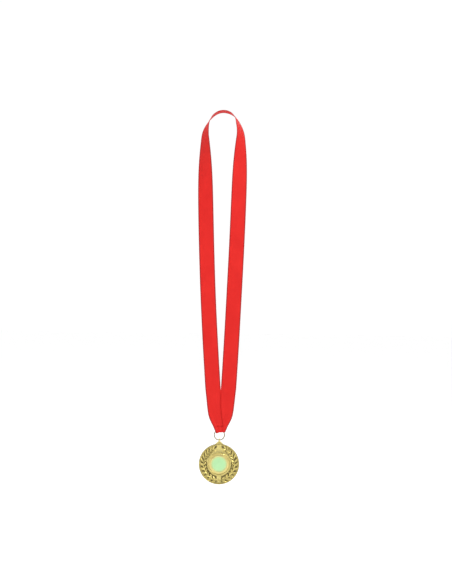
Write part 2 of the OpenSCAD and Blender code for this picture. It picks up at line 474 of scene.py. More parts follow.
right = half_rows(1)
left = half_rows(-1)
ribbon_rows = left[:0:-1] + right
OUTER = 14                                  # columns by the outer selvedge, which isn't rolled
row_step = [0.0]
for before, after in zip(ribbon_rows, ribbon_rows[1:]):
    gaps = [math.dist(a[0], b[0]) for a, b in zip(before[:OUTER], after[:OUTER])]
    row_step.append(sum(gaps) / len(gaps))

# %% [markdown]
# ## Ribbon: the strip
# A flat grid is added with as many cells as the strip has rows and columns. Its corners are then
# moved to the hung rows, its UV map keeps the flat place of each corner in metres for
# the weave, and Solidify gives the cloth its thickness, a little more at the two selvedges.

# %% Hang the strip
EDGE_BAND, INNER_WEIGHT = 0.5, 0.72         # the selvedge's width, and the thinner cloth inside it
deselect()
bpy.ops.mesh.primitive_grid_add(x_subdivisions=len(ribbon_rows) - 1, y_subdivisions=COLUMNS, size=1.0)
ribbon = bpy.context.object
ribbon.name = "ribbon"
travel = [sum(row_step[:i + 1]) for i in range(len(row_step))]
flat_place = []
selvedge = ribbon.vertex_groups.new(name="selvedge")
for corner in ribbon.data.vertices:
    row = round((corner.co.x + 0.5) * (len(ribbon_rows) - 1))
    column = round((corner.co.y + 0.5) * COLUMNS)
    place, along = ribbon_rows[row][column]
    corner.co = Vector((place[0] + sway(place[2]), place[1], place[2])) * MM
    flat_place.append((along * MM, travel[row] * MM))
    edge_gap = min(along, WIDTH - along)
    selvedge.add([corner.index], 1.0 if edge_gap < EDGE_BAND else INNER_WEIGHT, "REPLACE")
weave_map = ribbon.data.uv_layers.active
for loop in ribbon.data.loops:
    weave_map.data[loop.index].uv = flat_place[loop.vertex_index]
only(ribbon)
thicken = ribbon.modifiers.new("cloth", "SOLIDIFY")
thicken.thickness = CLOTH * MM
thicken.offset = 0.0
thicken.vertex_group = "selvedge"
bpy.ops.object.modifier_apply(modifier=thicken.name)
smooth(ribbon, 60)
print("ribbon faces", len(ribbon.data.polygons))

# %% [markdown]
# ## Bar tack
# A bar tack is a dense zigzag of thread sewn across the gathered plies. One short stitch is made
# from a six-sided rod with rounded ends, and is copied along a shallow arc on both faces.

# %% One stitch
THREAD_R = 0.13
STITCH = 1.25
deselect()
bpy.ops.mesh.primitive_cylinder_add(vertices=6, radius=THREAD_R * MM, depth=STITCH * MM)
stitch = bpy.context.object
edit(stitch, "FACE")
for up in (1, -1):
    choose(stitch, "FACE", lambda face: face.normal.z * up > 0.9)
    bpy.ops.mesh.inset(thickness=0.05 * MM)
    bpy.ops.transform.translate(value=(0, 0, up * 0.07 * MM))
done()
print("stitch faces", len(stitch.data.polygons))

# %% Sew the bar
SEAM_HALF = (seam_high.x - seam_low.x) / 2 / MM
STITCHES = 34
tack_parts = []
rng = random.Random(11)
for face in (-1, 1):
    for i in range(STITCHES):
        share = (i + 0.5) / STITCHES * 2 - 1
        x = SEAM_HALF * share
        side = 1 if x > crease(SEAM) else -1
        proud = depth(side, SEAM, side * x, 0.0) + CLOTH / 2 + 0.03
        if face < 0:
            proud += pleat(SEAM, x, outline(SEAM))
        thread = stitch.copy()
        thread.data = stitch.data.copy()
        scene.collection.objects.link(thread)
        thread.location = Vector((x + sway(SEAM), face * proud, SEAM + 0.5 * share * share - 0.2)) * MM
        lean = math.radians(16 if i % 2 else -16) + rng.uniform(-0.05, 0.05)
        thread.rotation_euler = (0.0, lean, 0.0)
        tack_parts.append(thread)
bpy.data.objects.remove(stitch)
bar_tack = weld(tack_parts, "bar_tack")
settle(bar_tack)
smooth(bar_tack, 50)
print("bar tack faces", len(bar_tack.data.polygons))

# %% [markdown]
# ## Jump ring
# The ring is a length of round wire bent to a circle and cut with pliers. A filled circle is spun
# round the ring's middle for a little under a full turn, so that the butt gap stays, and the
# cut ends are bevelled as nippers leave them.

# %% Spin the wire
GAP_AT = 55.0                               # degrees up from the right
GAP = math.degrees(0.2 / RING_R)            # a butt gap of 0.2 mm
deselect()
bpy.ops.mesh.primitive_circle_add(vertices=20, radius=WIRE_R * MM, fill_type="NGON")
jump_ring = bpy.context.object
jump_ring.name = "split_ring"
jump_ring.location = (RING_R * MM, 0, 0)
settle(jump_ring)
edit(jump_ring, "FACE")
bpy.ops.mesh.select_all(action="SELECT")
turn = math.radians(GAP_AT + GAP / 2)
bpy.ops.transform.rotate(value=turn, orient_axis="Y", center_override=(0, 0, 0))
bpy.ops.mesh.spin(steps=144, angle=math.radians(360 - GAP), center=(0, 0, 0), axis=(0, -1, 0))
done()
edit(jump_ring, "EDGE")
bpy.ops.mesh.select_all(action="SELECT")
bpy.ops.mesh.remove_doubles(threshold=1e-7)
bpy.ops.mesh.select_all(action="DESELECT")
bpy.ops.mesh.select_non_manifold()
bpy.ops.mesh.edge_face_add()
bpy.ops.mesh.select_all(action="SELECT")
bpy.ops.mesh.normals_make_consistent(inside=False)
ends = choose(jump_ring, "EDGE", lambda e: any(len(f.verts) > 4 for f in e.link_faces))
bpy.ops.mesh.bevel(offset=0.09 * MM, segments=2, affect="EDGES")
done()
jump_ring.location = (0, 0, RING_Z * MM)
settle(jump_ring)
smooth(jump_ring, 50)
corners = [v.co for v in jump_ring.data.vertices]
print("ring end edges", ends, "lowest", round(min(c.z for c in corners) / MM, 2),
      "highest", round(max(c.z for c in corners) / MM, 2))

# %% [markdown]
# ## Medal: the turned blank
# The disc is struck or cast with a rim, a sunk ground for the wreath, a raised lip and a recess
# for the emblem. It is modelled lying flat, as it lies in its mould: a disc whose
# front face is inset and moved up or down step by step, and whose edges are then bevelled.

# %% Heights on the medal, in millimetres over the ring's plane
plate_low, plate_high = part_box("emblem_plate")
field_low, field_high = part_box("emblem_field")
body_low, body_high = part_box("medal_body")
medal_centre = (plate_low + plate_high) / 2
MEDAL_Z = medal_centre.z / MM
MEDAL_R = (body_high.x - body_low.x) / 2 / MM
PLATE_R = (plate_high.x - plate_low.x) / 2 / MM
PLATE_BACK, PLATE_TOP = -plate_high.y / MM, -plate_low.y / MM
RECESS = PLATE_BACK - 0.25                  # the adhesive pad is 0.25 thick
GROUND = RECESS + 0.4
RIM_TOP = GROUND + 1.0
LIP = GROUND + 0.8
BACK = GROUND - 2.0
FIELD_R = (field_high.x - field_low.x) / 2 / MM
FIELD_BACK, FIELD_TOP = -field_high.y / MM, -field_low.y / MM
print(f"medal r {MEDAL_R:.2f} at {MEDAL_Z:.2f}, rim {RIM_TOP:.2f}")
print(f"plate r {PLATE_R:.2f}, field r {FIELD_R:.2f}")


def step_in(width, rise=0.0):
    """Insets the selected face and moves its middle up or down."""
    bpy.ops.mesh.inset(thickness=width * MM)
    if rise:
        bpy.ops.transform.translate(value=(0, 0, rise * MM))


def round_edges(piece, radii, height, offset, segments=3):
    """Bevels the round edges that lie at a height and on one of some radii."""
    def there(edge):
        far = [v.co.xy.length / MM for v in edge.verts]
        level = all(abs(v.co.z / MM - height) < 0.02 for v in edge.verts)
        around = abs(far[0] - far[1]) < 0.01
        return level and around and any(abs(far[0] - r) < 0.06 for r in radii)
    found = choose(piece, "EDGE", there)
    bpy.ops.mesh.bevel(offset=offset * MM, segments=segments, affect="EDGES")
    return found


def hang_on_medal(piece):
    """Stands a piece that was made lying flat on the medal: its up becomes the front."""
    piece.rotation_euler = (math.radians(90), 0, 0)
    piece.location = (0, 0, MEDAL_Z * MM)
    settle(piece)


# %% Turn the blank
RIM_WIDTH, RIM_WALL = 1.0, 0.3
GROUND_WIDTH, LIP_WALL, LIP_WIDTH = 9.9, 0.3, 0.75
BACK_BORDER, BACK_SINK = 3.75, 0.25
RIM_IN = MEDAL_R - RIM_WIDTH
GROUND_OUT = RIM_IN - RIM_WALL
GROUND_IN = GROUND_OUT - GROUND_WIDTH
LIP_OUT = GROUND_IN - LIP_WALL
LIP_IN = LIP_OUT - LIP_WIDTH
deselect()
bpy.ops.mesh.primitive_cylinder_add(vertices=180, radius=MEDAL_R * MM, depth=(RIM_TOP - BACK) * MM,
                                    location=(0, 0, (RIM_TOP + BACK) / 2 * MM))
blank = bpy.context.object
settle(blank)
edit(blank, "FACE")
choose(blank, "FACE", lambda face: face.normal.z > 0.9)
step_in(RIM_WIDTH)
step_in(RIM_WALL, GROUND - RIM_TOP)
step_in(GROUND_WIDTH)
step_in(LIP_WALL, LIP - GROUND)
step_in(LIP_WIDTH)
step_in(0.1, RECESS - LIP)
choose(blank, "FACE", lambda face: face.normal.z < -0.9)
step_in(BACK_BORDER)
step_in(BACK_SINK, BACK_SINK)
bpy.ops.mesh.select_mode(type="EDGE")
rounded = round_edges(blank, (MEDAL_R, RIM_IN), RIM_TOP, 0.28)
rounded += round_edges(blank, (MEDAL_R, MEDAL_R - BACK_BORDER), BACK, 0.28)
rounded += round_edges(blank, (LIP_OUT, LIP_IN), LIP, 0.15)
rounded += round_edges(blank, (GROUND_OUT, GROUND_IN), GROUND, 0.12)
done()
print("rounded edges", rounded, "blank faces", len(blank.data.polygons))

# %% [markdown]
# ## Medal: the laurel wreath
# Two laurel branches rise from the foot and nearly meet under the eye. One leaf is carved from a
# small grid: its rows are drawn in to a point at each end, the two halves are raised, the
# vein between them is left low, and the outline is pulled down into the ground. The leaf
# is copied along each branch, leaning out, leaning in, and lying over the stem.

# %% One leaf
LEAF_ROWS = 8
deselect()
bpy.ops.mesh.primitive_grid_add(x_subdivisions=LEAF_ROWS, y_subdivisions=6, size=1.0,
                                location=(0.5, 0, 0))
leaf = bpy.context.object
settle(leaf)
edit(leaf, "VERT")
for column, rise in ((1 / 6, 0.55), (1 / 3, 0.48), (0.0, 0.26), (0.5, 0.2)):
    choose(leaf, "VERT", lambda v: abs(abs(v.co.y) - column) < 0.01)
    bpy.ops.transform.translate(value=(0, 0, rise))
for row in range(LEAF_ROWS + 1):
    u = row / LEAF_ROWS
    wide = max(math.sin(math.pi * u ** 0.85) ** 0.62, 0.04)
    tall = 0.55 + 0.45 * math.sin(math.pi * u ** 0.7)
    choose(leaf, "VERT", lambda v: abs(v.co.x - u) < 0.01)
    bpy.ops.transform.resize(value=(1, wide, tall), center_override=(u, 0, 0))
bpy.ops.mesh.select_mode(type="EDGE")
choose(leaf, "EDGE", lambda edge: edge.is_boundary)
bpy.ops.mesh.extrude_edges_move(TRANSFORM_OT_translate={"value": (0, 0, -0.5)})
done()
only(leaf)
finer = leaf.modifiers.new("finer", "SUBSURF")
finer.levels = 1
finer.render_levels = 1
bpy.ops.object.modifier_apply(modifier=finer.name)
print("leaf faces", len(leaf.data.polygons))

# %% Lay the leaves along both branches
BRANCH_R = 19.2
STATIONS = 12                               # places along a branch that carry leaves
FIRST, LAST = 9.0, 153.0                    # degrees up from the foot
LEAF_GAP = 0.25
LEAF_LIMIT = 23.3                           # outer leaves end short of the rim
OUTER_R, INNER_R = 21.7, 17.4               # where the outer and the inner leaves are widest
leaves = []
rng = random.Random(5)


def branch_radius(angle):
    """Distance of the stem from the medal's middle; it flares out at the foot."""
    return BRANCH_R + 1.4 * max(0.0, 1 - angle / 34) ** 2


def station_angle(share):
    """Stations stand closer together towards the tip, where the leaves are smaller."""
    return mix(FIRST, LAST, 1.25 * share - 0.25 * share * share)


def spread(angle):
    """Lean of the outer leaves: widest at the disc's lower side, and swept up towards the tip."""
    return 28 + 21 * ease(angle, 10, 50) - 22 * ease(angle, 60, 135)


def lay_leaf(side, angle, lean, length, width, height, lift=0.0, aside=0.0):
    """Copies the leaf to a branch. side -1 is the left one; angle runs up from the foot."""
    a = math.radians(angle)
    radius = branch_radius(angle) + aside
    heading = math.pi - a - math.radians(lean)
    copy = leaf.copy()
    copy.data = leaf.data.copy()
    scene.collection.objects.link(copy)
    copy.location = Vector((side * radius * math.sin(a), -radius * math.cos(a), GROUND + lift)) * MM
    copy.rotation_euler = (0, 0, heading if side < 0 else math.pi - heading)
    copy.scale = Vector((length, width, height)) * MM
    leaves.append(copy)


for side in (-1, 1):
    for i in range(STATIONS):
        share = i / (STATIONS - 1)
        step = math.radians(station_angle(share + 0.5 / STATIONS) - station_angle(share - 0.5 / STATIONS))
        angle = station_angle(share) + rng.uniform(-0.8, 0.8)
        lean_out = spread(angle) + rng.uniform(-3, 3)
        slope = math.sin(math.radians(lean_out))
        length = min(mix(8.2, 6.2, share), (LEAF_LIMIT - branch_radius(angle)) / slope)
        width = max(OUTER_R * step * slope - LEAF_GAP, 2.1)
        lay_leaf(side, angle, -lean_out, length, width, 1.3 * rng.uniform(0.9, 1.05), aside=0.5)
        lean_in = mix(32, 40, share) + rng.uniform(-4, 4)
        length = mix(5.6, 5.0, share) * rng.uniform(0.9, 1.05)
        width = INNER_R * step * math.sin(math.radians(lean_in)) - 2 * LEAF_GAP
        lay_leaf(side, angle + 2, lean_in, length, width, 1.25 * rng.uniform(0.9, 1.05), aside=-0.4)
        if share < 0.45:
            lay_leaf(side, angle + 5, rng.uniform(-8, 8), mix(6.0, 4.4, share),
                     mix(2.0, 1.5, share), 1.2, lift=0.2)
    lay_leaf(side, LAST + 2, 2, 5.2, 2.0, 1.3)
bpy.data.objects.remove(leaf)
print("leaves", len(leaves))

# %% [markdown]
# ## Medal: stems, berries and tie
# Each stem is a bent round bar: a Bezier curve with a bevel, made a mesh. Small
# berries fill the angles between the leaves, and a tie crosses the stems at the foot.

# %% Stems
STEM_START, STEM_TURN, STEM_POINTS = 3.0, 150.0, 19
STEM_R, STEM_LIFT = 0.38, 0.12


def stem(side):
    """A round bar along a branch."""
    deselect()
    bpy.ops.curve.primitive_nurbs_path_add()
    bar = bpy.context.object
    line = bar.data.splines[0]
    angles = [STEM_START + STEM_TURN * i / (STEM_POINTS - 1) for i in range(STEM_POINTS)]
    line.points.add(len(angles) - len(line.points))
    for point, angle in zip(line.points, angles):
        a = math.radians(angle)
        r = branch_radius(angle)
        x, y = side * r * math.sin(a), -r * math.cos(a)
        point.co = (x * MM, y * MM, (GROUND + STEM_LIFT) * MM, 1)
    bar.location = (0, 0, 0)
    bar.data.bevel_depth = STEM_R * MM
    bar.data.bevel_resolution = 2
    bar.data.use_fill_caps = True
    bar.data.resolution_u = 4
    only(bar)
    bpy.ops.object.convert(target="MESH")
    return bpy.context.object


stems = [stem(-1), stem(1)]
print("stem faces", sum(len(s.data.polygons) for s in stems))

# %% Berries
BERRY_R = 0.5
deselect()
bpy.ops.mesh.primitive_uv_sphere_add(segments=10, ring_count=6, radius=BERRY_R * MM)
berry = bpy.context.object
edit(berry, "VERT")
choose(berry, "VERT", lambda v: v.co.z < -0.3 * BERRY_R * MM)
bpy.ops.transform.resize(value=(1.3, 1.3, 1.0))
done()
berries = []
for side in (-1, 1):
    for i in range(1, STATIONS - 1):
        angle = station_angle((i + 0.55) / (STATIONS - 1))
        for aside in (3.5, -3.3):
            a = math.radians(angle)
            r = branch_radius(angle) + aside
            copy = berry.copy()
            copy.data = berry.data.copy()
            scene.collection.objects.link(copy)
            copy.location = Vector((side * r * math.sin(a), -r * math.cos(a), GROUND + 0.2)) * MM
            berries.append(copy)
bpy.data.objects.remove(berry)
print("berries", len(berries))

# %% Tie
TIE_Y = -20.9
deselect()
bpy.ops.mesh.primitive_cube_add(size=1.0, location=(0, TIE_Y * MM, (GROUND + 0.45) * MM),
                                scale=(2.2 * MM, 3.0 * MM, 0.9 * MM))
tie = bpy.context.object
settle(tie)
edit(tie, "EDGE")
bpy.ops.mesh.select_all(action="SELECT")
bpy.ops.mesh.bevel(offset=0.3 * MM, segments=2, affect="EDGES")
choose(tie, "EDGE", lambda e: all(abs(v.co.y / MM - TIE_Y) > 1.1 for v in e.verts))
bpy.ops.transform.resize(value=(0.72, 1, 1), center_override=(0, TIE_Y * MM, 0))
done()
print("tie faces", len(tie.data.polygons))

# %% [markdown]
# ## Medal: gusset and eye
# The eye stands across the disc, so that the medal hangs face on. A block is drawn up and in to
# carry it, and its front is inset and sunk, as the mould has it. The eye's bar
# is a torus, made a little narrower towards its outside so that it leaves the mould.

# %% Gusset
EYE_HOLE, EYE_BAR = 1.3, 0.75
GUSSET_WIDTH, GUSSET_DEPTH, FOOT_HEIGHT = 10.8, 2.4, 0.4
eye_z = body_high.z / MM - EYE_HOLE - 2 * EYE_BAR
foot = MEDAL_R - 0.75
top = eye_z - EYE_HOLE + 0.6 - MEDAL_Z      # runs 0.6 into the eye's bar
last_rise = top - foot - FOOT_HEIGHT / 2 - 1.2 - 1.3
deselect()
bpy.ops.mesh.primitive_cube_add(size=1.0, location=(0, foot * MM, 0),
                                scale=(GUSSET_WIDTH * MM, FOOT_HEIGHT * MM, GUSSET_DEPTH * MM))
gusset = bpy.context.object
settle(gusset)
edit(gusset, "FACE")
choose(gusset, "FACE", lambda face: face.normal.y > 0.9)
for rise, narrower in ((1.2, 0.74), (1.3, 0.66), (last_rise, 0.36)):
    bpy.ops.mesh.extrude_region_move(TRANSFORM_OT_translate={"value": (0, rise * MM, 0)})
    bpy.ops.transform.resize(value=(narrower, 1, 1), center_override=(0, 0, 0))
choose(gusset, "FACE", lambda face: face.normal.z > 0.9)
bpy.ops.mesh.inset(thickness=0.42 * MM, depth=-0.25 * MM)
bpy.ops.mesh.select_mode(type="EDGE")
choose(gusset, "EDGE", lambda e: all(abs(abs(v.co.z) / MM - GUSSET_DEPTH / 2) < 0.01 for v in e.verts)
       and e.calc_face_angle(0) > 0.6)
bpy.ops.mesh.bevel(offset=0.16 * MM, segments=2, affect="EDGES")
done()
print("gusset faces", len(gusset.data.polygons), "top", round(top, 2))

# %% Eye
deselect()
bpy.ops.mesh.primitive_torus_add(major_radius=(EYE_HOLE + EYE_BAR) * MM, minor_radius=EYE_BAR * MM,
                                 major_segments=40, minor_segments=16,
                                 location=(0, (eye_z - MEDAL_Z) * MM, 0),
                                 rotation=(0, math.radians(90), 0))
eye = bpy.context.object
settle(eye)
edit(eye, "VERT")
around = Vector((0, (eye_z - MEDAL_Z) * MM, 0))
choose(eye, "VERT", lambda v: ((v.co - around).yz.length / MM > EYE_HOLE + EYE_BAR + 0.3))
bpy.ops.transform.resize(value=(0.85, 1, 1), center_override=tuple(around))
done()
print("eye faces", len(eye.data.polygons), "at", round(eye_z, 2))

# %% The casting in one piece
for piece in leaves + stems + berries:
    smooth(piece, 60)
smooth(blank, 40)
smooth(eye, 60)
smooth(gusset, 30)
smooth(tie, 40)
casting = weld([blank] + leaves + stems + berries + [tie, gusset, eye], "medal_casting")
settle(casting)
hang_on_medal(casting)
print("casting faces", len(casting.data.polygons))

# %% [markdown]
# ## Emblem plate and field
# The emblem is a thin gilded plate with a shallow well, filled with a blank field of pale mint
# enamel that crowns a little. Both are turned shapes, so both start as a disc.

# %% Plate
GROOVE = 0.08
deselect()
bpy.ops.mesh.primitive_cylinder_add(vertices=144, radius=PLATE_R * MM,
                                    depth=(PLATE_TOP - PLATE_BACK) * MM,
                                    location=(0, 0, (PLATE_TOP + PLATE_BACK) / 2 * MM))
plate = bpy.context.object
settle(plate)
edit(plate, "FACE")
choose(plate, "FACE", lambda face: face.normal.z > 0.9)
step_in(0.35)
step_in(0.15, -GROOVE)
step_in(0.25)
step_in(0.15, GROOVE)
step_in(PLATE_R - 0.9 - FIELD_R)
step_in(0.02, FIELD_BACK - PLATE_TOP)
bpy.ops.mesh.select_mode(type="EDGE")
round_edges(plate, (PLATE_R,), PLATE_TOP, 0.14)
round_edges(plate, (FIELD_R,), PLATE_TOP, 0.05)
done()
smooth(plate, 40)
plate.name = "emblem_ring_plate"
hang_on_medal(plate)
print("plate faces", len(plate.data.polygons))

# %% Field
CROWN = 0.2                                 # how far the enamel stands up in its middle
CROWN_STEPS = ((0.06, 0.035), (0.12, 0.03), (0.3, 0.03), (1.2, 0.035), (2.4, 0.04), (2.4, 0.025),
               (1.6, 0.005))
edge_top = FIELD_TOP - CROWN
deselect()
bpy.ops.mesh.primitive_cylinder_add(vertices=120, radius=(FIELD_R - 0.03) * MM,
                                    depth=(edge_top - FIELD_BACK) * MM,
                                    location=(0, 0, (edge_top + FIELD_BACK) / 2 * MM))
field = bpy.context.object
settle(field)
edit(field, "FACE")
choose(field, "FACE", lambda face: face.normal.z > 0.9)
for width, rise in CROWN_STEPS:
    step_in(width, rise)
done()
smooth(field, 60)
field.name = "mint_field"
hang_on_medal(field)
print("field faces", len(field.data.polygons))

# %% [markdown]
# ## Shared effects
# Four small node groups serve several finishes: woven threads, slow unevenness, the fine
# grain of handled metal, and turning rings. Each gives only a height or a mask.

# %% Node helpers
def calc(tree, operation, *values):
    """A Math node on sockets and numbers, and its result."""
    node = tree.nodes.new("ShaderNodeMath")
    node.operation = operation
    for socket, value in zip(node.inputs, values):
        if isinstance(value, bpy.types.NodeSocket):
            tree.links.new(value, socket)
        else:
            socket.default_value = value
    return node.outputs[0]


def remap(tree, value, low, high, new_low, new_high):
    """Stretches a range of a value to a new one, and clamps it."""
    node = tree.nodes.new("ShaderNodeMapRange")
    tree.links.new(value, node.inputs["Value"])
    for name, number in (("From Min", low), ("From Max", high), ("To Min", new_low), ("To Max", new_high)):
        node.inputs[name].default_value = number
    return node.outputs["Result"]


def noise(tree, place, scale, detail=2.0):
    """A noise pattern over a place."""
    node = tree.nodes.new("ShaderNodeTexNoise")
    node.inputs["Scale"].default_value = scale
    node.inputs["Detail"].default_value = detail
    tree.links.new(place, node.inputs["Vector"])
    return node.outputs["Fac"]


def tint(tree, mask, low, high):
    """Mixes two colours by a mask."""
    node = tree.nodes.new("ShaderNodeMix")
    node.data_type = "RGBA"
    tree.links.new(mask, node.inputs["Factor"])
    for socket, colour in ((node.inputs[6], low), (node.inputs[7], high)):
        if isinstance(colour, bpy.types.NodeSocket):
            tree.links.new(colour, socket)
        else:
            socket.default_value = (*colour, 1.0)
    return node.outputs[2]


def new_group(name, inputs, outputs):
    """An empty node group with a place and numbers going in, and values coming out."""
    tree = bpy.data.node_groups.new(name, "ShaderNodeTree")
    tree.interface.new_socket("Place", in_out="INPUT", socket_type="NodeSocketVector")
    for socket, number in inputs:
        made = tree.interface.new_socket(socket, in_out="INPUT", socket_type="NodeSocketFloat")
        made.default_value = number
    for socket in outputs:
        tree.interface.new_socket(socket, in_out="OUTPUT", socket_type="NodeSocketFloat")
    return tree, tree.nodes.new("NodeGroupInput").outputs, tree.nodes.new("NodeGroupOutput").inputs


def use_group(tree, group, place, **values):
    """Puts a group into a material and gives its outputs."""
    node = tree.nodes.new("ShaderNodeGroup")
    node.node_tree = group
    tree.links.new(place, node.inputs["Place"])
    for name, number in values.items():
        node.inputs[name].default_value = number
    return node.outputs


# %% Woven threads
weave, come, go = new_group("woven_threads", (("Rib", 0.0005), ("Thread", 0.0003)), ("Height", "Gap"))
parts = weave.nodes.new("ShaderNodeSeparateXYZ")
weave.links.new(come["Place"], parts.inputs[0])
ribs = calc(weave, "DIVIDE", parts.outputs["Y"], come["Rib"])
threads = calc(weave, "DIVIDE", parts.outputs["X"], come["Thread"])
shift = calc(weave, "MULTIPLY", calc(weave, "MODULO", calc(weave, "FLOOR", ribs), 2.0), 0.5)
rib_wave = calc(weave, "ABSOLUTE", calc(weave, "SINE", calc(weave, "MULTIPLY", ribs, math.pi)))
thread_at = calc(weave, "MULTIPLY", calc(weave, "ADD", threads, shift), math.pi)
thread_wave = calc(weave, "ABSOLUTE", calc(weave, "SINE", thread_at))
high = calc(weave, "MULTIPLY", rib_wave, calc(weave, "MULTIPLY_ADD", thread_wave, 0.45, 0.55))
weave.links.new(high, go["Height"])
weave.links.new(calc(weave, "SUBTRACT", 1.0, high), go["Gap"])
print("weave nodes", len(weave.nodes))

# %% Unevenness, metal grain and turning rings
uneven, come, go = new_group("unevenness", (("Scale", 60.0),), ("Mask",))
cloud = uneven.nodes.new("ShaderNodeTexNoise")
cloud.inputs["Detail"].default_value = 4.0
uneven.links.new(come["Place"], cloud.inputs["Vector"])
uneven.links.new(come["Scale"], cloud.inputs["Scale"])
uneven.links.new(remap(uneven, cloud.outputs["Fac"], 0.3, 0.7, 0.0, 1.0), go["Mask"])

grain, come, go = new_group("metal_grain", (("Fine", 2600.0),), ("Height", "Rubbed"))
speck = grain.nodes.new("ShaderNodeTexNoise")
speck.inputs["Detail"].default_value = 5.0
grain.links.new(come["Place"], speck.inputs["Vector"])
grain.links.new(come["Fine"], speck.inputs["Scale"])
dents = noise(grain, come["Place"], 420.0, 3.0)
grain.links.new(calc(grain, "MULTIPLY_ADD", dents, 0.7, calc(grain, "MULTIPLY", speck.outputs["Fac"], 0.3)),
                go["Height"])
grain.links.new(remap(grain, noise(grain, come["Place"], 190.0, 4.0), 0.35, 0.72, 0.0, 1.0), go["Rubbed"])

turned, come, go = new_group("turning_rings", (("Pitch", 0.00022),), ("Height", "Radius"))
parts = turned.nodes.new("ShaderNodeSeparateXYZ")
turned.links.new(come["Place"], parts.inputs[0])
square = calc(turned, "ADD", calc(turned, "MULTIPLY", parts.outputs["X"], parts.outputs["X"]),
              calc(turned, "MULTIPLY", parts.outputs["Z"], parts.outputs["Z"]))
radius = calc(turned, "SQRT", square)
wave = calc(turned, "SINE", calc(turned, "DIVIDE", radius, calc(turned, "DIVIDE", come["Pitch"], math.tau)))
turned.links.new(wave, go["Height"])
turned.links.new(radius, go["Radius"])
print("groups:", ", ".join(g.name for g in bpy.data.node_groups))

# %% Material helpers
def new_finish(name):
    """A material, its node tree and its shader."""
    finish = bpy.data.materials.new(name)
    finish.use_nodes = True
    return finish, finish.node_tree, finish.node_tree.nodes["Principled BSDF"]


def from_object(tree, centre=(0.0, 0.0, 0.0)):
    """Object coordinates, measured from a centre."""
    place = tree.nodes.new("ShaderNodeTexCoord")
    shifted = tree.nodes.new("ShaderNodeMapping")
    shifted.inputs["Location"].default_value = tuple(-c for c in centre)
    tree.links.new(place.outputs["Object"], shifted.inputs["Vector"])
    return shifted.outputs["Vector"]


def from_cloth(tree):
    """The flat place on the cloth, in metres."""
    node = tree.nodes.new("ShaderNodeUVMap")
    node.uv_map = "UVMap"
    return node.outputs["UV"]


def bump(tree, shader, height, distance, strength=1.0):
    """Drives the shader's normal by a height."""
    node = tree.nodes.new("ShaderNodeBump")
    node.inputs["Strength"].default_value = strength
    node.inputs["Distance"].default_value = distance
    tree.links.new(height, node.inputs["Height"])
    tree.links.new(node.outputs["Normal"], shader.inputs["Normal"])


def dress(piece, finish):
    """Gives a piece its one finish."""
    piece.data.materials.clear()
    piece.data.materials.append(finish)
    print(piece.name, "wears", finish.name, "with", len(finish.node_tree.nodes), "nodes")


# %% [markdown]
# ## Ribbon cloth and thread
# The ribbon is a ribbed polyester weave: fine ribs across it, threads along it, a soft sheen, and thicker
# selvedges. Shade is painted into the gaps between the threads and darker along the selvedges' rounded
# edges. The weave follows the flat place on the cloth, so it turns and gathers with it. The thread has the
# same red, a shade deeper.

# %% Ribbon cloth
ribbon_cloth, tree, shader = new_finish("red_ribbed_cloth")
flat = from_cloth(tree)
threads_out = use_group(tree, weave, flat, Rib=0.00055, Thread=0.00032)
clouds = use_group(tree, uneven, flat, Scale=38.0)["Mask"]
sides = tree.nodes.new("ShaderNodeSeparateXYZ")
tree.links.new(flat, sides.inputs[0])
half_width = WIDTH / 2 * MM
from_middle = calc(tree, "ABSOLUTE", calc(tree, "SUBTRACT", sides.outputs["X"], half_width))
edge_shade_mask = remap(tree, from_middle, half_width - 1.55 * MM, half_width - 1.05 * MM, 0.0, 1.0)
# the painted shade on the inner selvedges fades out in the gathered end, where they are rolled under
hung = tree.nodes.new("ShaderNodeSeparateXYZ")
tree.links.new(from_object(tree), hung.inputs[0])
gathered = remap(tree, hung.outputs["Z"], (MEET - 4) * MM, (MEET + 6) * MM, 1.0, 0.0)
inner_half = remap(tree, sides.outputs["X"], half_width, half_width + 1.0 * MM, 0.0, 1.0)
pressed = calc(tree, "MULTIPLY", gathered, inner_half)
edge_shade_mask = calc(tree, "MULTIPLY", edge_shade_mask, calc(tree, "SUBTRACT", 1.0, pressed))
red = tint(tree, clouds, (0.665, 0.0125, 0.0085), (0.745, 0.018, 0.012))
# painted shade: the low gaps between the threads are darkened, as shade falls into them
red = tint(tree, calc(tree, "MULTIPLY", threads_out["Gap"], 0.4), red, (0.42, 0.008, 0.012))
# painted shade along the selvedges, standing for their rounded edges
red = tint(tree, calc(tree, "MULTIPLY", edge_shade_mask, 0.75), red, (0.26, 0.012, 0.014))
tree.links.new(red, shader.inputs["Base Color"])
tree.links.new(remap(tree, threads_out["Height"], 0.0, 1.0, 0.78, 0.58), shader.inputs["Roughness"])
shader.inputs["Sheen Weight"].default_value = 0.05
shader.inputs["Sheen Roughness"].default_value = 0.4
shader.inputs["Sheen Tint"].default_value = (1.0, 0.45, 0.4, 1.0)
shader.inputs["Specular IOR Level"].default_value = 0.2
bump(tree, shader, threads_out["Height"], 0.00008, 0.7)
dress(ribbon, ribbon_cloth)

# %% Thread
thread_finish, tree, shader = new_finish("red_thread")
place = from_object(tree)
twist = use_group(tree, uneven, place, Scale=2400.0)["Mask"]
tree.links.new(tint(tree, twist, (0.50, 0.010, 0.011), (0.66, 0.015, 0.013)), shader.inputs["Base Color"])
tree.links.new(remap(tree, twist, 0.0, 1.0, 0.8, 0.65), shader.inputs["Roughness"])
shader.inputs["Specular IOR Level"].default_value = 0.2
bump(tree, shader, twist, 0.00004, 0.6)
dress(bar_tack, thread_finish)
